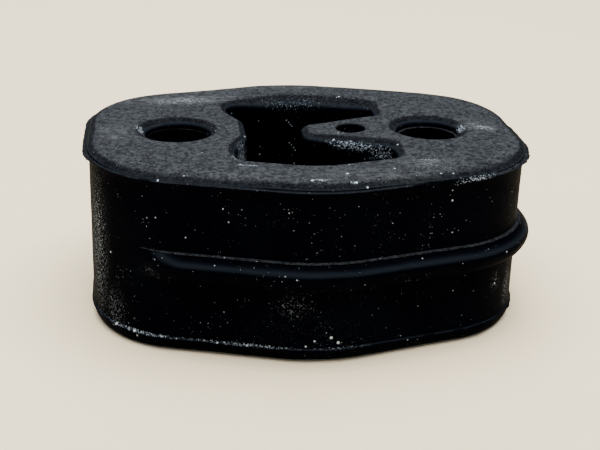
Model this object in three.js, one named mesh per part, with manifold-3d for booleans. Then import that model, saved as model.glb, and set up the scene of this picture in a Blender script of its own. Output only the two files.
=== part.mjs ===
// Exhaust hanger rubber: one moulded block that hangs an exhaust pipe from a car's floor.
// Two pins pass through the two bores. A C-shaped slot between them lets the block stretch,
// and the tongue in the slot is the stop that the block closes onto.
// Millimetres. X runs from bore to bore, Z up. The block stands on its lower face, and the
// origin is the middle of that face's outer box.

import * as THREE from 'three';
import { mergeVertices } from 'three/addons/utils/BufferGeometryUtils.js';
import Module from 'manifold-3d';

// Outside of the block, over the flash lips
const BODY_LENGTH = 70;
const WAIST_WIDTH = 54.7;
const END_WIDTH = 45.3;
const WAIST_RADIUS = 24.3;
const END_RADIUS = 17.2;
const HEIGHT = 28.7;

// Edges: a rounded rim, then the thin lip of flash where the mould parted
const LIP_PROUD = 0.6;
const LIP_THICKNESS = 0.5;
const LIP_STEP = 0.25;
const TOP_RIM_WIDTH = 2.8;
const TOP_RIM_DEPTH = 1.2;
const BOTTOM_RIM_WIDTH = 2.2;
const BOTTOM_RIM_DEPTH = 2.2;

// Half-round rib round the outside, which dies away at the left end
const RIB_PROUD = 2.1;
const RIB_HEIGHT = 4.9;
const RIB_ABOVE_MIDDLE = 0.2;
const RIB_END_GAP = 7;
const RIB_FADE_LENGTH = 8;

// Bores for the two pins, flared at both mouths, with a ring of flash under each flare
const BORE_SPACING = 41;
const BORE_RADIUS = 5.1;
const MOUTH_FLARE = 2;
const MOUTH_DEPTH = 1.6;
const BORE_FLASH = 0.35;
const BORE_FLASH_THICKNESS = 0.5;

// Slot between the bores, measured at its straight walls
const SIDE_WEB = 9.6;
const BORE_WEB = 3.05;
const SLOT_LONGER_RIGHT = 0.6;
const SLOT_CORNER = 2.6;

// Slot's rounded edge, which is wider on the tongue's flanks and fades back beside its root
const SLOT_ROUNDING = 1.5;
const SLOT_ROUNDING_DEPTH = 1.6;
const TONGUE_WIDENING = 0.8;
const TONGUE_FADE_GAP = 0.4;
const TONGUE_FADE = 2;

// Hump on the web beside the left bore
const HUMP_REACH = 2.9;
const HUMP_HALF_WIDTH = 4.1;
const HUMP_RAMP = 5.6;
const HUMP_FILLET = 3;

// Tongue that reaches into the slot from the right
const TONGUE_REACH = 13.5;
const TONGUE_ROOT_HALF_WIDTH = 7.6;
const TONGUE_TIP_HALF_WIDTH = 3.1;
const TONGUE_TIP_FILLET = 2.9;
const TONGUE_ROOT_FILLET = 1.6;
const PIN_HOLE_FROM_TIP = 8.1;
const PIN_HOLE_RADIUS = 2.3;

// Fineness of the curves
const END_ARC_STEPS = 18;
const WAIST_ARC_STEPS = 8;
const CORNER_STEPS = 6;
const RIM_STEPS = 5;
const RIB_STEPS = 8;
const FLARE_STEPS = 5;
const BORE_SIDES = 40;
const PIN_HOLE_SIDES = 24;
const OVERCUT = 1;

const wasm = await Module();
wasm.setup();

const rubber = new THREE.MeshStandardMaterial({
  name: 'moulded_rubber',
  color: 0x2c2d2f,
  roughness: 0.72,
  metalness: 0,
});

// Places that follow from the sizes above
const halfLength = BODY_LENGTH / 2;
const waistCentreY = WAIST_WIDTH / 2 - WAIST_RADIUS;
const endCentre = new THREE.Vector2(halfLength - END_RADIUS, END_WIDTH / 2 - END_RADIUS);
const boreX = BORE_SPACING / 2;
const slotEnd = boreX - BORE_RADIUS - BORE_WEB;
const slotRight = slotEnd + SLOT_LONGER_RIGHT;
const tongueTip = slotRight - TONGUE_REACH;
const ribLevel = HEIGHT / 2 + RIB_ABOVE_MIDDLE;
const sideNormalAngle = sharedTangentAngle();

// The rib reaches past the lip at the right end only, so the block sits a little to the left
// of the bores' middle for its box to be centred on the origin.
const blockShift = (LIP_PROUD - RIB_PROUD) / 2;

// Angle of the outward normal of the straight side between the waist's arc and the end's
function sharedTangentAngle() {
  const across = new THREE.Vector2(endCentre.x, endCentre.y - waistCentreY);
  return Math.atan2(across.y, across.x) + Math.acos((WAIST_RADIUS - END_RADIUS) / across.length());
}

function arc(x, y, radius, from, to, steps) {
  return new THREE.ArcCurve(x, y, radius, from, to, from > to).getPoints(steps);
}

// Outline of the block's wall, grown outwards by some amount: six arcs and their tangents
function blockOutline(grow) {
  const waist = WAIST_RADIUS - LIP_PROUD + grow;
  const end = END_RADIUS - LIP_PROUD + grow;
  const side = sideNormalAngle;
  const turn = Math.PI;
  return [
    ...arc(endCentre.x, endCentre.y, end, 0, side, END_ARC_STEPS),
    ...arc(0, waistCentreY, waist, side, turn - side, WAIST_ARC_STEPS),
    ...arc(-endCentre.x, endCentre.y, end, turn - side, turn, END_ARC_STEPS),
    ...arc(-endCentre.x, -endCentre.y, end, turn, turn + side, END_ARC_STEPS),
    ...arc(0, -waistCentreY, waist, turn + side, 2 * turn - side, WAIST_ARC_STEPS),
    ...arc(endCentre.x, -endCentre.y, end, 2 * turn - side, 2 * turn, END_ARC_STEPS),
  ];
}

// Quarter of an ellipse as [inset, depth] pairs, from the flat face to the upright wall
function quarterRound(width, depth, steps) {
  const pairs = [];
  for (let i = 0; i <= steps; i += 1) {
    const angle = (i / steps) * (Math.PI / 2);
    pairs.push([width * (1 - Math.sin(angle)), depth * (1 - Math.cos(angle))]);
  }
  return pairs;
}

// Rim and lip of one face as [growth, distance from the face] pairs
function rimLevels(width, depth) {
  const rimEdge = LIP_PROUD - LIP_STEP;
  const rim = quarterRound(width - LIP_STEP, depth - LIP_THICKNESS / 2, RIM_STEPS);
  return [
    ...rim.map(([inset, down]) => [rimEdge - inset, down]),
    [LIP_PROUD, depth],
    [0, depth + LIP_THICKNESS],
  ];
}

// Half-round rib as [share of its full growth, height] pairs
function ribLevels() {
  const levels = [];
  for (let i = 0; i <= RIB_STEPS; i += 1) {
    const angle = (i / RIB_STEPS - 0.5) * Math.PI;
    levels.push([Math.cos(angle) ** 1.2, ribLevel + (RIB_HEIGHT / 2) * Math.sin(angle)]);
  }
  return levels;
}

// The rib's share of its full reach, from nothing by the left end to all of it past the fade
function ribStrength(x) {
  const gone = RIB_END_GAP - halfLength;
  return THREE.MathUtils.smoothstep(x, gone, gone + RIB_FADE_LENGTH);
}

function ringAt(outline, z) {
  return outline.map((point) => new THREE.Vector3(point.x, point.y, z));
}

// Ring of the rib: each point of the wall moves out by the rib's reach at that place
function ribRing(share, z) {
  const wall = blockOutline(0);
  const crest = blockOutline(RIB_PROUD);
  return wall.map((point, i) => {
    const moved = point.clone().lerp(crest[i], share * ribStrength(point.x));
    return new THREE.Vector3(moved.x, moved.y, z);
  });
}

// Closed solid through a stack of matching rings, lowest first, each running anticlockwise
function loft(rings) {
  const count = rings[0].length;
  const positions = rings.flat().flatMap((point) => [point.x, point.y, point.z]);
  const indices = [];
  for (let level = 0; level < rings.length - 1; level += 1) {
    for (let i = 0; i < count; i += 1) {
      const next = (i + 1) % count;
      const low = level * count;
      const high = low + count;
      indices.push(low + i, low + next, high + next);
      indices.push(low + i, high + next, high + i);
    }
  }
  const top = (rings.length - 1) * count;
  for (const [a, b, c] of THREE.ShapeUtils.triangulateShape(rings[0], [])) {
    indices.push(c, b, a);
  }
  for (const [a, b, c] of THREE.ShapeUtils.triangulateShape(rings[rings.length - 1], [])) {
    indices.push(top + a, top + b, top + c);
  }
  const geometry = new THREE.BufferGeometry();
  geometry.setAttribute('position', new THREE.Float32BufferAttribute(positions, 3));
  geometry.setIndex(indices);
  return geometry;
}

function blockSolid() {
  const below = rimLevels(BOTTOM_RIM_WIDTH, BOTTOM_RIM_DEPTH);
  const above = rimLevels(TOP_RIM_WIDTH, TOP_RIM_DEPTH).reverse();
  return loft([
    ...below.map(([grow, down]) => ringAt(blockOutline(grow), down)),
    ...ribLevels().map(([share, z]) => ribRing(share, z)),
    ...above.map(([grow, down]) => ringAt(blockOutline(grow), HEIGHT - down)),
  ]);
}

// Slot's corners at its walls, anticlockwise from the waist's back, with their fillets.
// Its long sides run parallel to the block's, a web's thickness inside them.
function slotCorners() {
  const normal = new THREE.Vector2(Math.cos(sideNormalAngle), Math.sin(sideNormalAngle));
  const crown = WAIST_RADIUS - LIP_PROUD - SIDE_WEB;
  const sideAt = (x) => waistCentreY + (crown - normal.x * Math.abs(x)) / normal.y;
  const humpFoot = HUMP_HALF_WIDTH + HUMP_RAMP;
  const back = [
    [0, sideAt(0), crown],
    [-slotEnd, sideAt(slotEnd), SLOT_CORNER],
    [-slotEnd, humpFoot, HUMP_FILLET],
    [HUMP_REACH - slotEnd, HUMP_HALF_WIDTH, HUMP_FILLET],
  ];
  const tongue = [
    [tongueTip, TONGUE_TIP_HALF_WIDTH, TONGUE_TIP_FILLET],
    [slotRight, TONGUE_ROOT_HALF_WIDTH, TONGUE_ROOT_FILLET],
    [slotRight, sideAt(slotRight), SLOT_CORNER],
  ];
  const mirrored = ([x, y, radius]) => [x, -y, radius];
  return [...back, ...back.map(mirrored).reverse(), ...tongue.map(mirrored).reverse(), ...tongue];
}

// Rounded polygon, grown outwards: edges move along their normals and the fillets follow
function filletedOutline(corners, grow) {
  const points = [];
  corners.forEach(([x, y, radius], i) => {
    const before = corners[(i + corners.length - 1) % corners.length];
    const after = corners[(i + 1) % corners.length];
    const arriving = new THREE.Vector2(x - before[0], y - before[1]).normalize();
    const leaving = new THREE.Vector2(after[0] - x, after[1] - y).normalize();
    const bend = Math.sign(arriving.cross(leaving));
    const bisector = new THREE.Vector2(arriving.y + leaving.y, -arriving.x - leaving.x);
    const reach = 1 / (1 + arriving.dot(leaving));
    const centre = new THREE.Vector2(x, y).addScaledVector(bisector, -bend * radius * reach);
    const from = Math.atan2(-arriving.x * bend, arriving.y * bend);
    const turn = arriving.angleTo(leaving) * bend;
    points.push(...arc(centre.x, centre.y, radius + bend * grow, from, from + turn, CORNER_STEPS));
  });
  return points;
}

// How wide the slot's rounded edge is at a place on its wall
function slotRounding(point) {
  const { smoothstep } = THREE.MathUtils;
  const aside = Math.abs(point.y);
  const fadeFrom = TONGUE_ROOT_HALF_WIDTH + TONGUE_FADE_GAP;
  const along = smoothstep(point.x, tongueTip, tongueTip + TONGUE_REACH / 2);
  const flank = smoothstep(aside, 0, TONGUE_TIP_HALF_WIDTH)
    * (1 - smoothstep(aside, fadeFrom, fadeFrom + TONGUE_FADE));
  return SLOT_ROUNDING + TONGUE_WIDENING * along * flank;
}

// Ring of the slot's cutter: each point of the wall moves out by a share of the rounding there
function slotRing(share, z) {
  const corners = slotCorners();
  const wall = filletedOutline(corners, 0);
  const oneOut = filletedOutline(corners, 1);
  return wall.map((point, i) => {
    const moved = point.clone().lerp(oneOut[i], share * slotRounding(point));
    return new THREE.Vector3(moved.x, moved.y, z);
  });
}

function slotCutter() {
  const rounding = quarterRound(1, SLOT_ROUNDING_DEPTH, FLARE_STEPS);
  return loft([
    slotRing(1, -OVERCUT),
    ...rounding.map(([share, down]) => slotRing(share, down)),
    ...rounding.reverse().map(([share, down]) => slotRing(share, HEIGHT - down)),
    slotRing(1, HEIGHT + OVERCUT),
  ]);
}

// Solid of revolution about an upright axis, from [radius, height] pairs, lowest first
function turned(pairs, x, sides) {
  const profile = pairs.map(([radius, z]) => new THREE.Vector2(radius, z));
  return new THREE.LatheGeometry(profile, sides).rotateX(Math.PI / 2).translate(x, 0, 0);
}

// Half of a bore's cutter as [radius, distance from the face] pairs, from the face inwards
function boreMouth() {
  const flare = quarterRound(MOUTH_FLARE, MOUTH_DEPTH, FLARE_STEPS);
  return [
    [0, -OVERCUT],
    [BORE_RADIUS + MOUTH_FLARE, -OVERCUT],
    ...flare.map(([grow, down]) => [BORE_RADIUS + grow, down]),
    [BORE_RADIUS - BORE_FLASH, MOUTH_DEPTH + BORE_FLASH_THICKNESS / 3],
    [BORE_RADIUS, MOUTH_DEPTH + BORE_FLASH_THICKNESS],
  ];
}

function boreCutter(x) {
  const low = boreMouth();
  const high = boreMouth().map(([radius, down]) => [radius, HEIGHT - down]).reverse();
  return turned([...low, ...high], x, BORE_SIDES);
}

function pinHoleCutter() {
  const profile = [
    [0, -OVERCUT],
    [PIN_HOLE_RADIUS, -OVERCUT],
    [PIN_HOLE_RADIUS, HEIGHT + OVERCUT],
    [0, HEIGHT + OVERCUT],
  ];
  return turned(profile, tongueTip + PIN_HOLE_FROM_TIP, PIN_HOLE_SIDES);
}

function toSolid(geometry) {
  const bare = geometry.clone();
  bare.deleteAttribute('normal');
  bare.deleteAttribute('uv');
  const merged = mergeVertices(bare, 1e-4);
  const vertProperties = new Float32Array(merged.attributes.position.array);
  const triVerts = new Uint32Array(merged.index.array);
  return new wasm.Manifold(new wasm.Mesh({ numProp: 3, vertProperties, triVerts }));
}

function toGeometry(solid) {
  const { vertProperties, triVerts } = solid.getMesh();
  const geometry = new THREE.BufferGeometry();
  geometry.setAttribute('position', new THREE.BufferAttribute(vertProperties, 3));
  geometry.setIndex(new THREE.BufferAttribute(triVerts, 1));
  geometry.computeVertexNormals();
  return geometry;
}

function hangerRubber() {
  const solid = [slotCutter(), boreCutter(-boreX), boreCutter(boreX), pinHoleCutter()]
    .reduce((body, cutter) => body.subtract(toSolid(cutter)), toSolid(blockSolid()));
  const mesh = new THREE.Mesh(toGeometry(solid), rubber);
  mesh.name = 'hanger_rubber';
  mesh.position.x = blockShift;
  return mesh;
}

const part = new THREE.Group();
part.name = 'exhaust_hanger_rubber';
part.add(hangerRubber());

export default part;
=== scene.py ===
"""Exhaust hanger rubber: the moulded block as it looks after years under a car, on a pale floor.

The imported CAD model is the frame. The block is modelled again here with fine edges, flash and
wear, and stands in for its CAD node. Lengths are in metres; MM turns a size in millimetres.
"""

import math
from functools import partial

import bmesh
import bpy
from bpy.props import FloatProperty, FloatVectorProperty, PointerProperty
from mathutils import Matrix, Vector, noise


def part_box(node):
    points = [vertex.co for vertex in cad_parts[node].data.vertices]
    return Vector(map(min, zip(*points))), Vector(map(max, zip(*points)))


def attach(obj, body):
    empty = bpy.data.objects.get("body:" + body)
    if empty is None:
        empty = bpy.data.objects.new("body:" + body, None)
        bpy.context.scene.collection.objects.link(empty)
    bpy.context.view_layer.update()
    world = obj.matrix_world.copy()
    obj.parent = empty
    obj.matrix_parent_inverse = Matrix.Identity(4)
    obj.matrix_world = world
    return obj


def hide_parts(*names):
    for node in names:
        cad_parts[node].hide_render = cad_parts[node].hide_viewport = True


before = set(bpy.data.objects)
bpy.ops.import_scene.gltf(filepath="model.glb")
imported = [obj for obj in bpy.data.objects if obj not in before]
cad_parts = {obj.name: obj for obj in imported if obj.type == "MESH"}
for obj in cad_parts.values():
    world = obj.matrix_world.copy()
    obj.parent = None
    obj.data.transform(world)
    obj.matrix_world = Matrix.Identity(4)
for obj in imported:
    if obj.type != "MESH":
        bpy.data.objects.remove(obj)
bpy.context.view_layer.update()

bl_info = {
    "name": "Exhaust Hanger Rubber",
    "version": (1, 0, 0),
    "blender": (4, 5, 0),
    "location": "View3D > Sidebar > Hanger Rubber",
    "description": "Models a worn, moulded two-bore exhaust hanger rubber on a studio floor",
    "category": "Object",
}

MM = 0.001
NODE = "hanger_rubber"
BODY = "root"

# How many steps of the mesh make a rounded rim, half of the rib and a flared mouth
RIM_STEPS = 10
RIB_STEPS = 14
FLARE_STEPS = 8

# Mesh spacing round the bores and the pin hole, as shares of the spacing round the block
BORE_FINENESS = 0.7
PIN_HOLE_FINENESS = 0.5

# A flash lip's thickness at its outer edge and its reach at its foot, as shares of its own sizes
LIP_EDGE = 0.12
LIP_FOOT = 0.25

# Where the flash ring under a bore's flare starts, ends and is gone, below the flare
RING_LEVELS = (0.05 * MM, 0.12 * MM, 0.3 * MM)

# How far a cutter stands out of the faces that it cuts
OVERCUT = 1 * MM

# The left bore's flash ring as a share of the right one's, and the pin hole's broken edge
LEFT_BORE_FLASH = 1 / 3
PIN_HOLE_EDGE = 0.3 * MM

# Share of the swell, and the length of its waves: slow ones, and short ones from the mould
SWELLS = ((1, 9 * MM), (0.35, 2.2 * MM))
SMOOTH_ANGLE = math.radians(48)

NODE_LOW, NODE_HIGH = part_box(NODE)
FULL_TURN = 2 * math.pi


def linear(hex_colour):
    """Linear RGBA of an sRGB hex colour such as #2a2b2d."""
    channels = [int(hex_colour[i:i + 2], 16) / 255 for i in (1, 3, 5)]
    return tuple(
        c / 12.92 if c <= 0.04045 else ((c + 0.055) / 1.055) ** 2.4 for c in channels
    ) + (1.0,)


def length(name, description, millimetres):
    """A property that holds a length, given in millimetres."""
    return FloatProperty(
        name=name, description=description, default=millimetres * MM,
        min=0.0, unit="LENGTH", subtype="DISTANCE", precision=5,
    )


def colour(name, description, hex_colour):
    """A property that holds a colour, given as sRGB hex."""
    return FloatVectorProperty(
        name=name, description=description, default=linear(hex_colour),
        size=4, min=0.0, max=1.0, subtype="COLOR",
    )


def share(name, description, default):
    """A property that holds a share from nothing to all."""
    return FloatProperty(
        name=name, description=description, default=default, min=0.0, max=1.0, subtype="FACTOR",
    )


class HangerSizes(bpy.types.PropertyGroup):
    """Sizes of the moulded block."""

    lip_proud: length("Lip proud", "How far the upper flash lip stands out of the wall", 0.6)
    low_lip_proud: length("Lower lip proud", "The same for the lower lip", 0.35)
    lip_thickness: length("Lip thickness", "Thickness of a flash lip at its root", 0.5)
    lip_step: length("Lip step", "Width of the thin flash beyond the rounded rim", 0.25)
    end_flash: length("End flash", "How much further the upper flash reaches at the ends", 0.4)
    lip_droop: length("Lip droop", "How far the torn flash hangs at the front right", 0.5)
    top_rim_width: length("Top rim width", "Width of the upper face's rounded edge", 2.8)
    top_rim_depth: length("Top rim depth", "Depth of the upper face's rounded edge", 1.2)
    top_rim_corners: share("Top rim corners", "How much wider it is at the front corners", 0.9)
    bottom_rim: length("Bottom rim", "Rounding of the lower face's edge", 2.2)
    rib_proud: length("Rib proud", "How far the half-round rib stands out", 2.1)
    rib_height: length("Rib height", "Height of the half-round rib", 4.9)
    rib_above_middle: length("Rib above middle", "Rib's crest above mid height", 0.2)
    rib_top: length("Rib top", "Height of the rib's upper edge above its crest", 2.1)
    parting_flash: length("Parting flash", "Reach of the flash along the rib's upper edge", 0.3)
    rib_end_gap: length("Rib end gap", "Bare length before the rib starts, at the left", 7)
    rib_fade: length("Rib fade", "Length over which the rib grows to its full reach", 8)
    waist_radius: length("Waist radius", "Radius of the long sides' middle, over the lips", 24.3)
    end_radius: length("End radius", "Radius of the four end corners, over the lips", 17.2)
    end_width: length("End width", "Width across a bore, over the lips", 45.3)
    bore_spacing: length("Bore spacing", "Between the axes of the two bores", 41)
    bore_radius: length("Bore radius", "Radius of a bore's straight wall", 5.1)
    mouth_flare: length("Mouth flare", "Width of the flare at a bore's mouth", 2)
    mouth_depth: length("Mouth depth", "Depth of the flare at a bore's mouth", 1.6)
    bore_flash: length("Bore flash", "Reach of the right bore's flash ring under its flare", 0.5)
    side_web: length("Side web", "Rubber between the slot and the long sides", 9.6)
    bore_web: length("Bore web", "Rubber between the slot's ends and the bores", 3.05)
    slot_corner: length("Slot corner", "Fillet of the slot's four outer corners", 2.6)
    slot_longer: length("Slot longer", "How much further the slot runs to the right", 0.6)
    slot_shorter: length("Slot shorter", "How much less it runs to the left", 0.55)
    slot_rounding: length("Slot rounding", "Width of the slot's rounded edge", 1.5)
    slot_rounding_back: length("Slot rounding, back", "How much wider it is at the back", 1.9)
    slot_rounding_down: length("Slot rounding, down", "How much deeper it is at the back", 0.8)
    slot_rounding_tongue: length("Slot rounding, tongue", "How much wider it is at the tongue", 0.8)
    slot_rounding_depth: length("Slot rounding depth", "Depth of that edge", 1.6)
    hump_reach: length("Hump reach", "How far the hump stands into the slot", 2.35)
    hump_half_width: length("Hump half width", "Hump's flat top, from the middle forwards", 3.4)
    hump_half_width_back: length("Hump half width, back", "The same, backwards", 4.8)
    hump_ramp: length("Hump ramp", "Length of the hump's ramps along the web", 5.6)
    hump_fillet: length("Hump fillet", "Fillet of the hump's corners", 3)
    tongue_reach: length("Tongue reach", "Length of the tongue from the slot's end", 12.9)
    tongue_sag: length("Tongue sag", "How far the tongue's tip has sunk", 0.3)
    tongue_root: length("Tongue root", "Half width of the tongue at its root", 7.6)
    tongue_tip: length("Tongue tip", "Half width of the tongue at its tip", 3.1)
    tongue_tip_fillet: length("Tongue tip fillet", "Fillet of the tongue's tip", 2.2)
    tongue_root_fillet: length("Tongue root fillet", "Fillet at the tongue's root", 1.6)
    pin_hole_from_tip: length("Pin hole place", "Pin hole's axis from the tongue's tip", 8.1)
    pin_hole_radius: length("Pin hole radius", "Radius of the hole in the tongue", 2.3)
    station_step: length("Station step", "Spacing of the mesh round the outlines", 0.75)
    level_step: length("Level step", "Spacing of the mesh up the straight walls", 1.1)
    grid_step: length("Grid step", "Spacing of the mesh on the flat faces", 1.3)


class HangerWear(bpy.types.PropertyGroup):
    """Age and dirt of the block."""

    swell: length("Swell", "How far the aged faces rise and sink", 0.14)
    ragged: share("Ragged flash", "How torn the thin flash is", 0.55)
    dusty: share("Dust", "How much pale dust lies in the patches", 0.5)


class HangerColours(bpy.types.PropertyGroup):
    """Colours of the rubber, its dirt, its painted sheen and reflections, and the floor."""

    black: colour("Black", "Rubber where it is shaded and clean", "#010105")
    greyed: colour("Greyed", "Rubber where it has oxidised", "#020307")
    # Painted sheen: the sky's reflection painted into the colour on slopes that look partly up
    painted_sheen: colour("Sheen", "Cold sheen where it looks partly up", "#14191f")
    # Partly a real grey film, partly a painted reflection of the sky on the faces that look up
    film_and_sky_reflection: colour("Film", "Thin grey film on the faces that look up", "#3d4043")
    # Also paints a reflection of the pale floor on the end walls
    haze_and_end_sheen: colour("Haze", "Paler film that hands and the road left", "#8b8d8b")
    dust: colour("Dust", "Pale road dust", "#b9c5cf")
    floor: colour("Floor", "The pale studio floor", "#ffebc4")


class HangerShape:
    """Outlines and heights of the block, worked out from its sizes and the CAD node's box.

    X is counted from the middle between the bores, which lies at middle_x in the frame, because
    the rib makes the box longer at the right end.
    """

    def __init__(self, sizes):
        self.sizes = sizes
        self.height = NODE_HIGH.z - NODE_LOW.z
        self.middle_x = (sizes.lip_proud - sizes.rib_proud) / 2
        self.half_length = (NODE_HIGH.x - NODE_LOW.x - sizes.rib_proud + sizes.lip_proud) / 2
        self.half_waist = (NODE_HIGH.y - NODE_LOW.y) / 2 - sizes.rib_proud + sizes.lip_proud
        self.waist_y = self.half_waist - sizes.waist_radius
        self.end = Vector((self.half_length - sizes.end_radius, sizes.end_width / 2 - sizes.end_radius))
        self.bore_x = sizes.bore_spacing / 2
        self.slot_end = self.bore_x - sizes.bore_radius - sizes.bore_web
        self.tongue_tip_x = self.slot_end - sizes.tongue_reach
        self.rib_level = self.height / 2 + sizes.rib_above_middle
        across = Vector((self.end.x, self.end.y - self.waist_y))
        lean = math.acos((sizes.waist_radius - sizes.end_radius) / across.length)
        self.side_angle = math.atan2(across.y, across.x) + lean

    def block_arcs(self):
        """The wall's six arcs as (centre, radius, start, sweep), anticlockwise from the right."""
        waist = self.sizes.waist_radius - self.sizes.lip_proud
        end = self.sizes.end_radius - self.sizes.lip_proud
        side, x, y = self.side_angle, self.end.x, self.end.y
        return [
            ((x, y), end, 0, side),
            ((0, self.waist_y), waist, side, math.pi - 2 * side),
            ((-x, y), end, math.pi - side, side),
            ((-x, -y), end, math.pi, side),
            ((0, -self.waist_y), waist, math.pi + side, math.pi - 2 * side),
            ((x, -y), end, FULL_TURN - side, side),
        ]

    def slot_side(self, x):
        """Y of the slot's straight back wall at a place along the block."""
        s = self.sizes
        crown = s.waist_radius - s.lip_proud - s.side_web
        return self.waist_y + (crown - math.cos(self.side_angle) * abs(x)) / math.sin(self.side_angle)

    def slot_corners(self):
        """Corners of the slot's wall with their fillets, anticlockwise from the back."""
        s = self.sizes
        left, right = s.slot_shorter - self.slot_end, self.slot_end + s.slot_longer
        crown = s.waist_radius - s.lip_proud - s.side_web

        def hump(half_width, side):
            return [
                (left, side * (half_width + s.hump_ramp), s.hump_fillet),
                (left + s.hump_reach, side * half_width, s.hump_fillet),
            ]

        def tongue(side):
            return [
                (self.tongue_tip_x, side * s.tongue_tip, s.tongue_tip_fillet),
                (right, side * s.tongue_root, s.tongue_root_fillet),
                (right, side * self.slot_side(right), s.slot_corner),
            ]

        return [
            (0, self.slot_side(0), crown),
            (left, self.slot_side(left), s.slot_corner),
            *hump(s.hump_half_width_back, 1),
            *reversed(hump(s.hump_half_width, -1)),
            (left, -self.slot_side(left), s.slot_corner),
            (0, -self.slot_side(0), crown),
            *reversed(tongue(-1)),
            *tongue(1),
        ]

    def slot_back(self, point):
        """How much a place on the slot's wall belongs to its back, where the edge is widest."""
        return smoothstep((point.y + 0.12 * point.x - 13.2 * MM) / (3.2 * MM))

    def slot_mouth(self, point):
        """How much wider the slot's rounded edge is at a place than where it is narrowest."""
        s = self.sizes
        along = smoothstep((point.x - self.tongue_tip_x) / (5 * MM))
        front = along * smoothstep(-point.y / (3 * MM)) * smoothstep((point.y + 10 * MM) / (2 * MM))
        wider = self.slot_back(point) * s.slot_rounding_back + front * s.slot_rounding_tongue
        return 1 + wider / s.slot_rounding

    def slot_depth(self, point):
        """How much deeper the slot's rounded edge is at a place than where it is shallowest."""
        return 1 + self.slot_back(point) * self.sizes.slot_rounding_down / self.sizes.slot_rounding_depth

    def left_bore_mouth(self, point):
        """The left bore's flare is wider on the side away from the slot."""
        return 1 - 0.18 * (point.x + self.bore_x) / self.sizes.bore_radius

    def slot_arcs(self):
        """The slot's fillets as (centre, radius, start, sweep)."""
        corners = self.slot_corners()
        arcs = []
        for i, (x, y, radius) in enumerate(corners):
            before = Vector(corners[i - 1][:2])
            after = Vector(corners[(i + 1) % len(corners)][:2])
            here = Vector((x, y))
            arriving = (here - before).normalized()
            leaving = (after - here).normalized()
            bend = 1 if arriving.x * leaving.y - arriving.y * leaving.x > 0 else -1
            across = Vector((arriving.y + leaving.y, -arriving.x - leaving.x))
            centre = here - across * bend * radius / (1 + arriving.dot(leaving))
            start = math.atan2(-arriving.x * bend, arriving.y * bend)
            arcs.append((tuple(centre), radius, start, bend * arriving.angle(leaving)))
        return arcs

    def rib_strength(self, x):
        """The rib's share of its full reach at a place along the block."""
        start = self.sizes.rib_end_gap - self.half_length
        return smoothstep((x - start) / self.sizes.rib_fade)


def smoothstep(value):
    """Ease from 0 to 1 while the value goes from 0 to 1."""
    value = min(max(value, 0.0), 1.0)
    return value * value * (3 - 2 * value)


def stations_along(arcs, step):
    """Points round a closed outline of arcs and their tangents, each with its outward normal."""
    stations = []
    for i, (centre, radius, start, sweep) in enumerate(arcs):
        outward = 1 if sweep > 0 else -1
        count = max(3, round(abs(sweep) * radius / step))
        for k in range(count + 1):
            angle = start + sweep * k / count
            normal = Vector((math.cos(angle), math.sin(angle)))
            stations.append((Vector(centre) + normal * radius, normal * outward))
        following = arcs[(i + 1) % len(arcs)]
        ahead = Vector((math.cos(following[2]), math.sin(following[2])))
        target = Vector(following[0]) + ahead * following[1]
        point, normal = stations[-1]
        steps = round((target - point).length / step)
        for k in range(1, steps):
            stations.append((point.lerp(target, k / steps), normal))
        if steps == 0:
            stations.pop()
    return stations


def circle_stations(x, radius, step):
    """Points round a circle on the X axis, each with its outward normal."""
    count = round(FULL_TURN * radius / step)
    turns = [Vector((math.cos(a), math.sin(a))) for a in (FULL_TURN * k / count for k in range(count))]
    return [(Vector((x, 0)) + turn * radius, turn) for turn in turns]


def quarter_round(width, depth, steps):
    """A rounded edge as (inset, depth) pairs, from the flat face to the upright wall."""
    quarter = [math.pi / 2 * k / steps for k in range(steps + 1)]
    return [(width * (1 - math.sin(a)), depth * (1 - math.cos(a))) for a in quarter]


def straight_levels(low, high, step):
    """Heights between two levels, both left out."""
    count = max(1, round((high - low) / step))
    return [low + (high - low) * k / count for k in range(1, count)]


def deselect_all():
    """Deselect everything, because an operator acts on all that is selected."""
    bpy.ops.object.select_all(action="DESELECT")


def make_active(piece):
    """Select this piece alone and make it the active one."""
    deselect_all()
    piece.select_set(True)
    bpy.context.view_layer.objects.active = piece


def raise_tower(name, stations, levels):
    """Extrude a filled circle through the levels, then lay each ring on its outline.

    A level is (height, growth), each of them a length or a function of the station's point.
    """
    count = len(stations)
    deselect_all()
    bpy.ops.mesh.primitive_circle_add(vertices=count, radius=1, fill_type="NGON")
    tower = bpy.context.object
    tower.name = name
    bpy.ops.object.mode_set(mode="EDIT")
    bpy.ops.mesh.select_all(action="SELECT")
    for _ in levels[1:]:
        bpy.ops.mesh.extrude_region_move(TRANSFORM_OT_translate={"value": (0, 0, 1)})
    bpy.ops.object.mode_set(mode="OBJECT")
    for vertex in tower.data.vertices:
        angle = math.atan2(vertex.co.y, vertex.co.x) - math.pi / 2
        point, normal = stations[round(angle * count / FULL_TURN) % count]
        height, growth = (
            value(point) if callable(value) else value for value in levels[round(vertex.co.z)])
        moved = point + normal * growth
        vertex.co = (moved.x, moved.y, height)
    bpy.ops.object.mode_set(mode="EDIT")
    bpy.ops.mesh.select_all(action="SELECT")
    bpy.ops.mesh.normals_make_consistent(inside=False)
    bpy.ops.object.mode_set(mode="OBJECT")
    return tower


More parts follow.
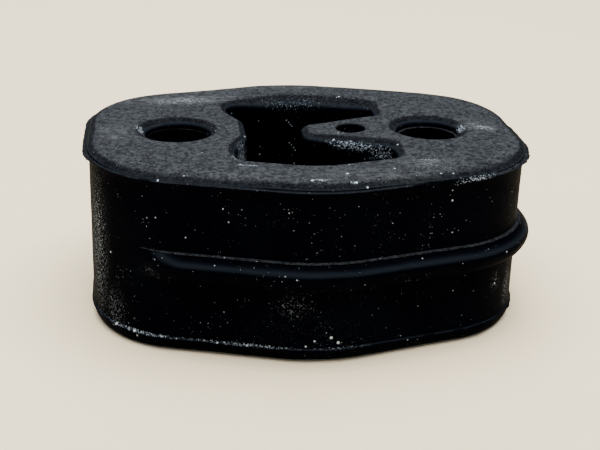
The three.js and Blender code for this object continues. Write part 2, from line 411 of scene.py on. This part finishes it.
def ragged_reach(reach, seed, wear, end_flash=0):
    """A reach that varies along the outline as torn flash does, most at the front right.

    The flash that reaches further round the ends starts there with a step, as where it tore.
    """
    def at(point):
        x, y = point.x / MM, point.y / MM
        slow = noise.noise(Vector((point.x, point.y, seed)) / (3.2 * MM))
        quick = noise.noise(Vector((point.x, point.y, seed + MM)) / (0.8 * MM))
        torn = smoothstep((x - 14) / 6) * smoothstep((-y - 8) / 4)
        left = smoothstep(12.4 - y) * smoothstep((y + 12.5) / 2)
        right = smoothstep(3.8 - y) * smoothstep((y + 21) / 4)
        ends = left if x < -20 else right if x > 20 else 0
        uneven = wear.ragged * (0.35 + torn) * 0.8 * (slow + quick)
        return reach * (1 + uneven) + end_flash * ends
    return at


def lip_hang(point):
    """The share by which the upper lip hangs down at a place: a torn skirt at the front right."""
    x, y = point.x / MM, point.y / MM
    return smoothstep((x - 12) / 4) * smoothstep((27 - x) / 8) if y <= -10 else 0


def rim_spread(point, corners):
    """A rim's width at a place: wider by that share at the front corners, narrower at the ends."""
    aside, forward = abs(point.x) / MM, -point.y / MM
    ends = smoothstep((aside - 22) / 8)
    corner = smoothstep((aside - 7) / 10) * smoothstep((forward - 12) / 7)
    return 1 - 0.3 * ends + corners * corner


def block_levels(shape, wear):
    """Rings of the block from the floor up: rim, lip, wall, rib, wall, lip, rim."""
    s = shape.sizes

    def rim(width, depth, proud, seed, end_flash, corners):
        """Levels of a rim from its flat face on, and which of them the thin lip holds."""
        edge = proud - s.lip_step

        def rounding(inset):
            return lambda point: edge - inset * rim_spread(point, corners)

        rounded = quarter_round(width - s.lip_proud + edge, depth - s.lip_thickness / 2, RIM_STEPS)
        thin = s.lip_thickness * LIP_EDGE
        lip = ragged_reach(proud, seed, wear, end_flash)
        return (
            [(down, rounding(inset), False) for inset, down in rounded]
            + [(depth - thin, lip, True), (depth + thin, lip, True)]
            + [(depth + s.lip_thickness / 2, proud * LIP_FOOT, False)]
            + [(depth + s.lip_thickness, 0, False)]
        )

    def hanging(z):
        return lambda point: z - s.lip_droop * lip_hang(point)

    # Heights from the rib's crest, each with 1 where the flash stands out and 0 where not
    low, top, line = -s.rib_height / 2, s.rib_top, s.rib_top - 0.1 * MM
    steps = range(RIB_STEPS)
    rises = [(low * math.cos(math.pi / 2 * k / RIB_STEPS), 0) for k in steps]
    rises += [(top * k / RIB_STEPS, 0) for k in steps if top * k / RIB_STEPS < line - 0.16 * MM]
    rises += [(line - 0.12 * MM, 0), (line - 0.05 * MM, 1), (line + 0.05 * MM, 1), (top, 0)]

    def rib(rise, flash):
        """The rib is half round below its crest and flatter above, up to its flash."""
        if rise > 0:
            round_share = 1 - (rise / top) ** 1.8
        else:
            round_share = math.sqrt(max(1 - (rise / low) ** 2, 0)) ** 1.2
        reach = s.rib_proud * round_share

        def at(point):
            uneven = 1 + 0.5 * noise.noise(Vector((point.x, point.y, 0)) / (2 * MM))
            return shape.rib_strength(point.x) * (reach + flash * s.parting_flash * uneven)
        return at

    ribbed = [(shape.rib_level + rise, rib(rise, flash)) for rise, flash in rises]
    low_rim = rim(s.bottom_rim, s.bottom_rim, s.low_lip_proud, 1, 0, 0)
    top_rim = rim(s.top_rim_width, s.top_rim_depth, s.lip_proud, 2, s.end_flash, s.top_rim_corners)
    below = [(down, reach) for down, reach, _ in low_rim]
    above = [
        (hanging(shape.height - down) if thin else shape.height - down, reach)
        for down, reach, thin in reversed(top_rim)
    ]
    lower_wall = straight_levels(below[-1][0], ribbed[0][0], s.level_step)
    upper_wall = straight_levels(ribbed[-1][0], above[0][0], s.level_step)
    return below + [(z, 0) for z in lower_wall] + ribbed + [(z, 0) for z in upper_wall] + above


def cutter_levels(shape, flare, depth, flash, widen=None, deepen=None):
    """Rings of a cutter that runs through the block, flared at both faces.

    The flare is as wide and as deep as given, times what the two functions say for a place.
    """
    top = shape.height

    def scaled(value, factor):
        return (lambda point: value * factor(point)) if factor else value

    def from_top(down):
        return (lambda point: top - down(point)) if callable(down) else top - down

    def torn(point):
        return -flash * (1 + 0.5 * noise.noise(Vector((point.x, point.y, flash)) / (1.5 * MM)))

    flared = quarter_round(flare, depth, FLARE_STEPS)
    mouth = [(-OVERCUT, scaled(flare, widen))]
    mouth += [(scaled(down, deepen), scaled(inset, widen)) for inset, down in flared]
    if flash:
        start, end, gone = (depth + level for level in RING_LEVELS)
        mouth += [(start, torn), (end, torn), (gone, 0)]
    wall = straight_levels(2 * depth, top - 2 * depth, shape.sizes.level_step)
    far = [(from_top(down), inset) for down, inset in reversed(mouth)]
    return mouth + [(z, 0) for z in wall] + far


def cut(block, cutter):
    """Cut the block with the cutter, and delete the cutter."""
    make_active(block)
    modifier = block.modifiers.new("cut", "BOOLEAN")
    modifier.operation = "DIFFERENCE"
    modifier.solver = "EXACT"
    modifier.object = cutter
    bpy.ops.object.modifier_apply(modifier=modifier.name)
    bpy.data.objects.remove(cutter)


def grid_flat_faces(block, shape):
    """Bisect the two flat faces into a grid, so that they can swell and sink."""
    make_active(block)
    group = block.vertex_groups.new(name="flat_faces")
    tolerance = 0.001 * MM
    flat = [
        v.index for v in block.data.vertices
        if abs(v.co.z) < tolerance or abs(v.co.z - shape.height) < tolerance
    ]
    group.add(flat, 1.0, "REPLACE")
    bpy.ops.object.mode_set(mode="EDIT")
    bpy.ops.mesh.select_mode(type="VERT")
    for axis, reach in ((Vector((1, 0, 0)), shape.half_length), (Vector((0, 1, 0)), shape.half_waist)):
        for offset in straight_levels(-reach, reach, shape.sizes.grid_step):
            bpy.ops.mesh.select_all(action="DESELECT")
            bpy.ops.object.vertex_group_select()
            bpy.ops.mesh.bisect(plane_co=axis * (offset + 0.013 * MM), plane_no=axis)
    bpy.ops.mesh.select_all(action="SELECT")
    bpy.ops.mesh.remove_doubles(threshold=0.01 * MM)
    bpy.ops.mesh.normals_make_consistent(inside=False)
    bpy.ops.object.mode_set(mode="OBJECT")


def swell(piece, strength, size):
    """Displace the piece along its normals by a soft noise whose waves have that length."""
    texture = bpy.data.textures.new("swell", "CLOUDS")
    texture.noise_scale = size
    texture.noise_depth = 1
    make_active(piece)
    modifier = piece.modifiers.new("swell", "DISPLACE")
    modifier.texture = texture
    modifier.texture_coords = "LOCAL"
    modifier.strength = strength
    modifier.mid_level = 0.5
    bpy.ops.object.modifier_apply(modifier=modifier.name)
    bpy.data.textures.remove(texture)


def sink_tongue(block, shape):
    """Let the tongue's upper half sink towards its tip."""
    sizes = shape.sizes
    for vertex in block.data.vertices:
        x, y, z = vertex.co
        inside = x > shape.tongue_tip_x - 0.3 * MM and abs(y) < sizes.tongue_root + 0.3 * MM
        if inside and x < shape.slot_end:
            along = 1 - smoothstep((x - shape.tongue_tip_x) / sizes.tongue_reach)
            raised = smoothstep((z - shape.height / 2) / (shape.height / 4))
            vertex.co.z -= sizes.tongue_sag * along * raised


def check_closed(piece):
    """Stop if the piece's mesh has an open or a doubled edge."""
    mesh = bmesh.new()
    mesh.from_mesh(piece.data)
    loose = sum(1 for edge in mesh.edges if len(edge.link_faces) != 2)
    mesh.free()
    if loose:
        raise RuntimeError(f"{piece.name} has {loose} edges that don't join two faces")


def add(tree, kind, inputs=(), output=0, **settings):
    """Add a shader node with its settings, set or link its inputs, and give one of its outputs.

    The inputs are given by name or number, or as a row in their order.
    """
    node = tree.nodes.new("ShaderNode" + kind)
    for name, value in settings.items():
        setattr(node, name, value)
    for key, value in inputs.items() if isinstance(inputs, dict) else enumerate(inputs):
        if isinstance(value, bpy.types.NodeSocket):
            tree.links.new(value, node.inputs[key])
        else:
            node.inputs[key].default_value = value
    return node.outputs[output] if node.outputs else None


def new_material(name):
    """An empty node material with its output and shader."""
    material = bpy.data.materials.new(name)
    material.use_nodes = True
    tree = material.node_tree
    tree.nodes.clear()
    surface = add(tree, "BsdfPrincipled")
    add(tree, "OutputMaterial", {"Surface": surface})
    return material, tree, surface.node


# Settings that several nodes share
SMOOTH = {"interpolation_type": "SMOOTHSTEP"}
TIMES = {"operation": "MULTIPLY"}
TIMES_PLUS = {"operation": "MULTIPLY_ADD"}
LARGER = {"operation": "MAXIMUM"}
COLOUR_MIX = {"data_type": "RGBA", "output": 2}

# Patches of dirt, and on the end walls of painted sheen: centre from the bores' middle and half
# lengths in millimetres, the turn about the upright in degrees, and the strength. Haze is a thin
# pale film; grit is crumbs of road dust. They lie where hands and the road left them: along the
# back left edge, round the bores, on the slot's edges, along the front rim and, in the last rows
# of each table, on the walls. The haze on the two end walls is partly dust and partly a painted
# reflection of the pale floor, where the walls turn away at grazing angles.
HAZE_AND_END_SHEEN = (
    ((-19, 16.5, 28.7), (13, 4, 1.5), 8, 1.0),
    ((-17, 22, 28.4), (12, 3, 1.5), 4, 0.55),
    ((-30.5, -2, 28.7), (4, 7, 1.5), 0, 0.45),
    ((28.5, 0.5, 28.7), (5, 4.5, 1.5), 10, 0.6),
    ((8, -22.5, 28.5), (16, 3.5, 1.5), 0, 0.35),
    ((-10, -22.5, 28.5), (14, 2.5, 1.2), -8, 0.25),
    ((17, -17, 28.6), (8, 3.5, 1.5), 6, 0.4),
    ((0, 24.5, 28.5), (12, 2.5, 1.2), 0, 0.3),
    # The two end walls: partly haze, partly a painted reflection of the pale floor at grazing angles
    ((-36, 2, 14), (4, 14, 16), 0, 0.5),
    ((36, -4, 16), (5, 14, 14), 0, 0.25),
)
GRIT = (
    ((-1, -24.5, 28.6), (3.2, 0.7, 0.7), 0, 0.85),
    ((4, -25.4, 28.4), (1.6, 0.7, 0.8), 0, 0.85),
    ((17, -18.5, 28.6), (6, 4, 1.2), 0, 0.3),
    ((16.8, -16.4, 28.7), (3.0, 0.6, 0.6), -6, 0.6),
    ((23, -21.7, 27.4), (8.5, 1.4, 0.9), 28, 0.65),
    ((8.0, -5.9, 27.4), (9, 1.3, 1.5), -23, 0.75),
    ((11.5, -7.6, 26.4), (4, 1.6, 2.2), -23, 0.7),
    ((-10.6, -6.6, 25.2), (2.2, 4.2, 5.5), -20, 0.8),
    ((-12.3, -13.5, 28.4), (1.4, 3.2, 1.0), 0, 0.45),
    ((-10.5, -17.8, 28.6), (2.4, 0.5, 0.6), -12, 0.75),
    ((26.2, 0.2, 28.0), (1.4, 2.6, 1.6), 0, 0.8),
    ((29.6, -0.8, 28.7), (4.0, 1.9, 0.9), -38, 0.55),
    ((-26.6, 0.5, 28.2), (1.3, 4.4, 1.4), 14, 0.65),
    ((-19, 15.5, 28.7), (12, 3.5, 0.9), 8, 0.38),
    ((0, 17.8, 27.2), (24, 2.6, 2.8), 0, 0.27),
    ((-2, -20, 28.7), (26, 3.5, 0.9), 0, 0.14),
    ((-33.2, -11.5, 14), (2.6, 6.5, 24), 25, 0.4),
    ((-31, -16, 5), (4, 5, 7), 35, 0.3),
    ((-28, -19, 2.5), (14, 9, 0.42), -30, 0.65),
    ((-12, -25, 2.5), (16, 5, 0.42), -12, 0.6),
    ((4, -27, 2.5), (14, 3, 0.4), 0, 0.35),
    ((0, -27, 5), (42, 9, 13), 0, 0.1),
    ((-4.5, -26.3, 9.5), (8, 2, 5), 0, 0.2),
    ((31.5, -14.5, 6.5), (3, 4.5, 8), 35, 0.36),
    ((28.6, -18, 8.8), (2.5, 3.5, 3.6), 35, 0.3),
    ((-25, -20.5, 13.5), (4, 2.5, 2.5), -25, 0.2),
)

# Single crumbs by their radius, in millimetres: on the rims, the flash, the front wall and, in
# short rows that look like pale curls, the slot's back wall
CRUMBS = (
    (0.26, (
        (-27.8, -18.9, 2.4), (19.6, -21.5, 28.5), (2.6, -26.6, 3.4), (1.5, -26.7, 4.3),
        (4.4, -25.4, 28.6), (-30.6, -16.3, 2.4), (17.7, -21.7, 28.6), (-1.9, -24.7, 28.7),
        (3.6, -22.0, 28.7),
    )),
    (0.19, (
        (-31.2, -15.3, 14.1), (-1.0, -26.7, 3.8), (-2.3, -26.6, 2.9), (-11.0, -24.8, 2.4),
        (-23.9, -21.3, 27.8), (4.2, -4.1, 28.0), (-27.4, -19.1, 1.7), (13.8, -8.2, 28.4),
        (-15.4, -23.6, 2.4), (-11.7, -17.4, 28.7), (28.6, -18.0, 8.5), (19.6, -22.2, 24.3),
        (5.9, -26.2, 28.1), (-10.0, -3.2, 28.3), (-0.5, -24.8, 28.7), (8.3, 18.0, 28.6),
        (-23.7, -21.1, 2.4), (11.0, -20.1, 28.7),
    )),
    (0.14, (
        (15.1, -24.5, 16.0), (-9.8, -25.5, 16.5), (-10.9, 14.4, 26.8), (-15.9, -24.7, 15.7),
        (4.5, -18.1, 28.7), (-14.4, -24.0, 16.6), (-21.5, -21.9, 2.4), (20.0, -22.1, 19.1),
        (-20.0, -22.1, 19.1), (-13.8, -23.8, 22.1), (-14.7, -21.6, 28.7), (-5.3, -26.2, 24.3),
        (-24.3, -20.7, 21.8), (19.5, -22.2, 25.9), (-1.0, 17.1, 24.6), (-0.6, 17.1, 24.2),
        (-0.3, 17.2, 23.8), (0.0, 17.2, 23.5), (-6.4, 15.6, 20.5), (-6.1, 15.8, 20.3),
        (-5.7, 16.0, 20.1), (-5.3, 16.1, 19.8), (-0.4, 17.1, 20.4), (0.0, 17.2, 20.0),
        (0.4, 17.1, 19.5), (0.7, 17.1, 19.0), (-6.0, 15.8, 17.2), (-6.1, 15.8, 17.6),
        (-6.0, 15.8, 18.1), (-17.1, -11.8, 28.7),
    )),
)


# Specks: the pattern's cells in millimetres, the share of cells that hold one anywhere and more
# of them in a patch, and how far the pattern is shifted, in metres
SPECKS = (
    (1.1, 0.05, 0.25, 0.0),
    (0.6, 0.1, 0.5, 0.011),
    (0.36, 0.18, 0.8, 0.023),
)


def moulded_rubber(colours, wear, shape):
    """EPDM rubber, compression moulded and aged: a matt near black that swallows the light.

    The walls stay black, slopes that look partly up take a painted cold sheen, the sky's reflection
    painted into the colour, and the open upper face has greyed under a thin grainy film whose grey
    is partly a painted reflection of the sky. Pale road dust lies on it in patches, specks and
    crumbs; on the end walls its paler haze is partly a painted reflection of the pale floor.
    """
    material, tree, shader = new_material("aged_moulded_rubber")
    node = partial(add, tree)
    place = node("TexCoord", output="Object")
    normal = node("NewGeometry", output="Normal")
    up = node("SeparateXYZ", {"Vector": normal}, "Z")
    height = node("SeparateXYZ", {"Vector": place}, "Z")

    def pattern(size_mm, detail, roughness=0.5):
        """Settings of a noise whose features are that many millimetres across."""
        return {"Vector": place, "Scale": 1 / (size_mm * MM), "Detail": detail, "Roughness": roughness}

    def in_frame(spot):
        """A place of the dirt's tables, in the frame's metres."""
        return Vector(spot) * MM + Vector((shape.middle_x, 0, 0))

    def patches(table):
        """The strongest of a table's soft-edged patches at each place."""
        strongest = 0.0
        for centre, reach, turn, strength in table:
            local = node("Mapping", {
                "Vector": place,
                "Location": in_frame(centre),
                "Rotation": (0, 0, math.radians(turn)),
                "Scale": Vector(reach) * MM,
            }, vector_type="TEXTURE")
            away = node("VectorMath", (local,), "Value", operation="LENGTH")
            patch = node("MapRange", (away, 0.0, 1.0, strength, 0.0), **SMOOTH)
            strongest = node("Math", (strongest, patch), **LARGER)
        return strongest

    def specks(size_mm, base, by_patch, seed):
        """Round specks in a share of a Voronoi pattern's cells, with more of them in the patches."""
        shifted = node("VectorMath", (place, (seed, seed, seed)), operation="ADD")
        cells = node("TexVoronoi", {"Vector": shifted, "Scale": 1 / (size_mm * MM)}).node
        lot = node("SeparateColor", (cells.outputs["Color"],)).node
        anywhere = node("Math", (scattered, base), **TIMES)
        share_here = node("Math", (grit, by_patch, anywhere), **TIMES_PLUS)
        chosen = node("Math", (lot.outputs["Red"], share_here), operation="LESS_THAN")
        mostly_small = node("Math", (lot.outputs["Green"], 2.0), operation="POWER")
        radius = node("Math", (mostly_small, 0.16, 0.07), **TIMES_PLUS)
        away = node("Math", (cells.outputs["Distance"], radius), operation="DIVIDE")
        spot = node("MapRange", (away, 0.6, 1.0, 1.0, 0.0), **SMOOTH)
        mostly_faint = node("Math", (lot.outputs["Blue"], 3.0), operation="POWER")
        bright = node("Math", (mostly_faint, 0.8, 0.06), **TIMES_PLUS)
        return node("Math", (node("Math", (spot, chosen), **TIMES), bright), **TIMES)

    def settled(radius, places):
        """Single crumbs of one radius at given places."""
        nearest = 1.0
        for spot in places:
            away = node("VectorMath", (place, in_frame(spot)), "Value", operation="DISTANCE")
            nearest = node("Math", (nearest, away), operation="MINIMUM")
        return node("MapRange", (nearest, radius * 0.7 * MM, radius * MM, 1.0, 0.0), **SMOOTH)

    # Patterns by their grain in millimetres: age, mould, chalky film and road dust. The dust's
    # own grains are finer than the render shows, so both of the last two are drawn coarser.
    haze_and_end_sheen = patches(HAZE_AND_END_SHEEN)
    grit = patches(GRIT)
    clouds = node("TexNoise", pattern(9, 3))
    mottle = node("TexNoise", pattern(1.6, 4, 0.6))
    fine = node("TexNoise", pattern(0.58, 5, 0.85))
    crumb = node("TexNoise", pattern(0.24, 2, 0.6))

    # The haze lies in streaks, so its pattern is drawn out four times along the block
    along = node("Mapping", {
        "Vector": place, "Rotation": (0, 0, math.radians(8)), "Scale": (4, 1, 1),
    }, vector_type="TEXTURE")
    streaks = node("TexNoise", {**pattern(0.45, 4, 0.75), "Vector": along})

    # The rubber: near black, a little greyer in clouds, with a painted cold sheen where it looks partly
    # up, as on the rib's upper half and on the rounded rims: the sky's reflection, painted into the
    # colour
    oxidised = node("MapRange", (clouds, 0.35, 0.7), **SMOOTH)
    blacks = {0: oxidised, 6: tuple(colours.black), 7: tuple(colours.greyed)}
    surface = node("Mix", blacks, **COLOUR_MIX)
    not_upright = node("MapRange", (up, 0.35, 0.66), **SMOOTH)
    not_level = node("MapRange", (up, 0.66, 0.82, 1.0, 0.0), **SMOOTH)
    # Painted sheen: a band of slopes where the sky's reflection is painted into the colour
    painted_glint = node("Math", (not_upright, not_level), **TIMES)
    surface = node("Mix", {0: painted_glint, 6: surface, 7: tuple(colours.painted_sheen)}, **COLOUR_MIX)

    # The grey film: full on the open upper face, where its grey is partly a film and partly a painted
    # reflection of the sky; on the rims a thinner painted sheen that fades as they turn away; broken up
    # by fine grain
    open_air = node("MapRange", (height, shape.height - 2.1 * MM, shape.height - 1.0 * MM), **SMOOTH)
    level = node("Math", (node("MapRange", (up, 0.95, 0.999), **SMOOTH), open_air), **TIMES)
    # Painted sheen on the rims, fading as they turn away from the light
    slope = node("Math", (node("MapRange", (up, 0.35, 0.8), **SMOOTH), open_air), **TIMES)
    painted_rim_sheen = node("Math", (slope, 0.26), **TIMES)
    film_and_sky_reflection = node("Math", (level, 0.74, painted_rim_sheen), **TIMES_PLUS)
    film_and_sky_reflection = node("Math", (film_and_sky_reflection, node("MapRange", (fine, 0.42, 0.6, 0.24, 1.2), **SMOOTH)), **TIMES)
    film_and_sky_reflection = node("Math", (film_and_sky_reflection, node("MapRange", (mottle, 0.25, 0.75, 0.6, 1.0), **SMOOTH)), **TIMES)

    # A painted highlight: the film's grey, painted in a thin line along the flash on the rib's upper
    # edge, where the light catches its top
    flash_level = shape.rib_level + shape.sizes.rib_top - 0.06 * MM
    from_flash = node("Math", (height, flash_level), operation="SUBTRACT")
    from_flash = node("Math", (from_flash,), operation="ABSOLUTE")
    line = node("MapRange", (from_flash, 0.06 * MM, 0.15 * MM, 1.0, 0.0), **SMOOTH)
    line = node("Math", (line, node("MapRange", (up, 0.2, 0.5), **SMOOTH)), **TIMES)
    line = node("Math", (line, node("MapRange", (fine, 0.4, 0.6, 0.1, 0.6), **SMOOTH)), **TIMES)
    film_and_sky_reflection = node("Math", (film_and_sky_reflection, line), **LARGER)
    surface = node("Mix", {0: film_and_sky_reflection, 6: surface, 7: tuple(colours.film_and_sky_reflection)}, **COLOUR_MIX)

    # Haze: paler streaks inside its patches, at half strength; on the end walls it is partly a painted
    # reflection of the pale floor at grazing angles
    streaky = node("MapRange", (streaks, 0.42, 0.66, 0.1, 1.0), **SMOOTH)
    blotchy = node("MapRange", (mottle, 0.3, 0.65, 0.2, 1.0), **SMOOTH)
    misty = node("Math", (haze_and_end_sheen, node("Math", (streaky, blotchy), **TIMES)), **TIMES)
    misty = node("Math", (misty, 0.5), **TIMES)
    surface = node("Mix", {0: misty, 6: surface, 7: tuple(colours.haze_and_end_sheen)}, **COLOUR_MIX)

    # Dust: fine crumbs inside the patches of grit, specks of three sizes all over, in swarms and
    # more of them on the upper face, and the single crumbs at their places
    denser = node("Math", (grit, 0.2, crumb), **TIMES_PLUS)
    crumbs = node("MapRange", (denser, 0.62, 0.72), **SMOOTH)
    crumbs = node("Math", (crumbs, node("MapRange", (grit, 0.04, 0.45), **SMOOTH)), **TIMES)
    dirt = node("Math", (crumbs, wear.dusty), **TIMES)
    swarms = node("MapRange", (node("TexNoise", pattern(4, 2)), 0.48, 0.62, 0.3, 3.0), **SMOOTH)
    scattered = node("Math", (swarms, level), operation="ADD")
    for size_mm, base, by_patch, seed in SPECKS:
        dirt = node("Math", (dirt, specks(size_mm, base, by_patch, seed)), **LARGER)
    for radius, places in CRUMBS:
        paler_if_large = node("Math", (settled(radius, places), radius * 3.6), **TIMES)
        dirt = node("Math", (dirt, paler_if_large), **LARGER)
    surface = node("Mix", {0: dirt, 6: surface, 7: tuple(colours.dust)}, **COLOUR_MIX)

    # Matt, and with next to no gloss, because the pale floor would show in the black walls
    rough = node("MapRange", (mottle, 0.2, 0.8, 0.46, 0.6), **SMOOTH)
    tree.links.new(surface, shader.inputs["Base Color"])
    tree.links.new(rough, shader.inputs["Roughness"])
    shader.inputs["Specular IOR Level"].default_value = 0.004

    # Orange peel of the mould and the film's pits, both too shallow to model
    peel = node("Bump", {"Height": mottle, "Distance": 0.1 * MM, "Strength": 0.5})
    pits = node("Bump", {"Height": fine, "Distance": 0.05 * MM, "Strength": 0.6, "Normal": peel})
    tree.links.new(pits, shader.inputs["Normal"])
    return material


def floor_board(colours):
    """Matt painted board: an even pale ground with a trace of mottle."""
    material, tree, shader = new_material("matt_painted_board")
    place = add(tree, "TexCoord", output="Object")
    mottle = add(tree, "TexNoise", {"Vector": place, "Scale": 1 / (60 * MM), "Detail": 2})
    tone = add(tree, "MapRange", {"Value": mottle, 3: 0.96, 4: 1.0})
    shades = {0: 1.0, 6: tuple(colours.floor), 7: tone}
    mixed = add(tree, "Mix", shades, blend_type="MULTIPLY", **COLOUR_MIX)
    tree.links.new(mixed, shader.inputs["Base Color"])
    shader.inputs["Roughness"].default_value = 0.9
    return material


def dress(piece, material):
    """Give the piece its one material, and its place on the frame."""
    piece.data.materials.clear()
    piece.data.materials.append(material)
    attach(piece, BODY)


class HANGER_OT_block(bpy.types.Operator):
    """Model the moulded block with its bores, slot, rib and flash"""

    bl_idname = "hanger.block"
    bl_label = "Moulded block"

    def execute(self, context):
        scene = context.scene
        shape = HangerShape(scene.hanger_sizes)
        sizes = shape.sizes
        outline = stations_along(shape.block_arcs(), sizes.station_step)
        block = raise_tower("rubber_block", outline, block_levels(shape, scene.hanger_wear))
        slot_outline = stations_along(shape.slot_arcs(), sizes.station_step)
        slot_levels = cutter_levels(
            shape, sizes.slot_rounding, sizes.slot_rounding_depth, 0, shape.slot_mouth, shape.slot_depth)
        cut(block, raise_tower("slot_cutter", slot_outline, slot_levels))
        for x, mouth, flash in (
            (-shape.bore_x, shape.left_bore_mouth, sizes.bore_flash * LEFT_BORE_FLASH),
            (shape.bore_x, None, sizes.bore_flash),
        ):
            bore_step = sizes.station_step * BORE_FINENESS
            bore_outline = circle_stations(x, sizes.bore_radius, bore_step)
            bore_levels = cutter_levels(shape, sizes.mouth_flare, sizes.mouth_depth, flash, mouth)
            cut(block, raise_tower("bore_cutter", bore_outline, bore_levels))
        pin_x = shape.tongue_tip_x + sizes.pin_hole_from_tip
        pin_step = sizes.station_step * PIN_HOLE_FINENESS
        pin_outline = circle_stations(pin_x, sizes.pin_hole_radius, pin_step)
        pin_levels = cutter_levels(shape, PIN_HOLE_EDGE, PIN_HOLE_EDGE, 0)
        cut(block, raise_tower("pin_hole_cutter", pin_outline, pin_levels))
        grid_flat_faces(block, shape)
        check_closed(block)
        sink_tongue(block, shape)
        for part, size in SWELLS:
            swell(block, scene.hanger_wear.swell * part, size)
        block.data.transform(Matrix.Translation((shape.middle_x, 0, 0)))
        for vertex in block.data.vertices:
            vertex.co.z = max(vertex.co.z, 0)
        bpy.ops.object.shade_smooth_by_angle(angle=SMOOTH_ANGLE)
        dress(block, moulded_rubber(scene.hanger_colours, scene.hanger_wear, shape))
        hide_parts(NODE)
        return {"FINISHED"}


# The photograph's camera, from the block's outline: its direction, roll, distance and lens
CAMERA_AZIMUTH = math.radians(-7.47)
CAMERA_ELEVATION = math.radians(22.33)
CAMERA_ROLL = math.radians(1.79)
CAMERA_DISTANCE = 200.9 * MM
CAMERA_TARGET = Vector((-0.25, 0, 11.61)) * MM
CAMERA_LENS = 71.85


def add_camera(shape):
    """Stand the camera where the photograph was taken from."""
    azimuth, elevation = CAMERA_AZIMUTH, CAMERA_ELEVATION
    back = Vector((
        math.sin(azimuth) * math.cos(elevation),
        -math.cos(azimuth) * math.cos(elevation),
        math.sin(elevation),
    ))
    right = Vector((math.cos(azimuth), math.sin(azimuth), 0))
    up = back.cross(right)
    turn = Matrix.Rotation(CAMERA_ROLL, 3, back)
    right, up = turn @ right, turn @ up
    target = CAMERA_TARGET + Vector((shape.middle_x, 0, 0))
    bpy.ops.object.camera_add()
    camera = bpy.context.object
    camera.name = "photo_camera"
    camera.matrix_world = Matrix((
        (right.x, up.x, back.x, target.x + back.x * CAMERA_DISTANCE),
        (right.y, up.y, back.y, target.y + back.y * CAMERA_DISTANCE),
        (right.z, up.z, back.z, target.z + back.z * CAMERA_DISTANCE),
        (0, 0, 0, 1),
    ))
    camera.data.lens = CAMERA_LENS
    camera.data.clip_start = 10 * MM
    bpy.context.scene.camera = camera


FLOOR_WIDTH = 3

# Softboxes: name, place and aim in metres, width and power; and the even light around them
SOFTBOXES = (
    ("overhead_softbox", (0.02, -0.02, 0.9), (0, 0, 0), 0.95, 24),
    ("back_softbox", (-0.1, 0.7, 0.45), (0, 0, 0.02), 0.5, 1.5),
)
AIR_COLOUR = "#dfe6f2"
AIR_STRENGTH = 0.55


def add_softbox(name, place, aim, size, power):
    """A large square lamp that points at a place."""
    bpy.ops.object.light_add(type="AREA", location=place)
    lamp = bpy.context.object
    lamp.name = name
    lamp.data.size = size
    lamp.data.energy = power
    lamp.rotation_euler = (Vector(aim) - Vector(place)).to_track_quat("-Z", "Y").to_euler()


class HANGER_OT_stage(bpy.types.Operator):
    """Lay the pale floor and set the soft lamps and the camera"""

    bl_idname = "hanger.stage"
    bl_label = "Stage"

    def execute(self, context):
        scene = context.scene
        shape = HangerShape(scene.hanger_sizes)
        deselect_all()
        bpy.ops.mesh.primitive_plane_add(size=FLOOR_WIDTH, location=(0, 0, 0))
        floor = context.object
        floor.name = "studio_floor"
        floor.data.materials.append(floor_board(scene.hanger_colours))
        for softbox in SOFTBOXES:
            add_softbox(*softbox)
        world = bpy.data.worlds.new("studio_air")
        world.use_nodes = True
        background = world.node_tree.nodes["Background"]
        background.inputs["Color"].default_value = linear(AIR_COLOUR)
        background.inputs["Strength"].default_value = AIR_STRENGTH
        scene.world = world
        add_camera(shape)
        return {"FINISHED"}


class HANGER_PT_panel(bpy.types.Panel):
    """Sizes, wear and colours of the hanger rubber, and what models it"""

    bl_label = "Hanger Rubber"
    bl_idname = "HANGER_PT_panel"
    bl_space_type = "VIEW_3D"
    bl_region_type = "UI"
    bl_category = "Hanger Rubber"

    def draw(self, context):
        layout = self.layout
        scene = context.scene
        for group in (scene.hanger_sizes, scene.hanger_wear, scene.hanger_colours):
            column = layout.column(align=True)
            for name in group.__annotations__:
                column.prop(group, name)
        for operator in OPERATORS:
            layout.operator(operator.bl_idname)


GROUPS = (HangerSizes, HangerWear, HangerColours)
OPERATORS = (HANGER_OT_block, HANGER_OT_stage)
CLASSES = GROUPS + OPERATORS + (HANGER_PT_panel,)


def register():
    """Register the add-on's classes and hang its settings on the scene."""
    for cls in CLASSES:
        bpy.utils.register_class(cls)
    bpy.types.Scene.hanger_sizes = PointerProperty(type=HangerSizes)
    bpy.types.Scene.hanger_wear = PointerProperty(type=HangerWear)
    bpy.types.Scene.hanger_colours = PointerProperty(type=HangerColours)


def unregister():
    """Take the settings and the classes away again."""
    del bpy.types.Scene.hanger_colours
    del bpy.types.Scene.hanger_wear
    del bpy.types.Scene.hanger_sizes
    for cls in reversed(CLASSES):
        bpy.utils.unregister_class(cls)


def main():
    """Model the block and the stage."""
    register()
    bpy.ops.hanger.block()
    bpy.ops.hanger.stage()


if __name__ == "__main__":
    main()
